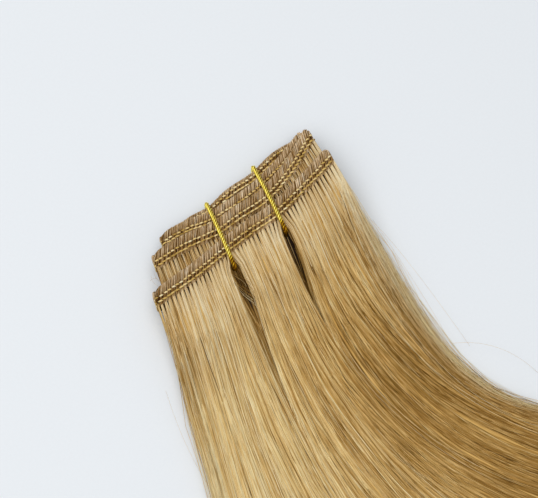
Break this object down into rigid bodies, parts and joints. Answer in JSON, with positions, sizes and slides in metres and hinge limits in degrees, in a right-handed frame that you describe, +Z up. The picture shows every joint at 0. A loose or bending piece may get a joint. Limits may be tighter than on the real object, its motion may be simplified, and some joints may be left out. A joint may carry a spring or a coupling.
{
  "type": "hair weft",
  "caption": "Machine-sewn weft of long golden blonde hair, its band wound into a low flat stack and held by gold elastic ties, the hair swept out to lie on a table.",
  "frame": {"origin": "centre of the part's base, on the surface that it lies on", "axes": "+X along the front band from its left end to its right end, +Y from the hair towards the band, +Z up off the surface"},
  "size_m": [0.2202, 0.2724, 0.0144],
  "materials": {
    "weft_band": "sewn band of hair and thread, dull",
    "hair": "smooth hair with a soft sheen along the strands",
    "gold_elastic": "metallic gold thread, glossy"
  },
  "bodies": {
    "root": {"weft_strip": "weft_band", "hair_front": "hair", "hair_second": "hair", "hair_third": "hair", "hair_back": "hair", "tie_left": "gold_elastic", "tie_right": "gold_elastic"}
  },
  "joints": []
}
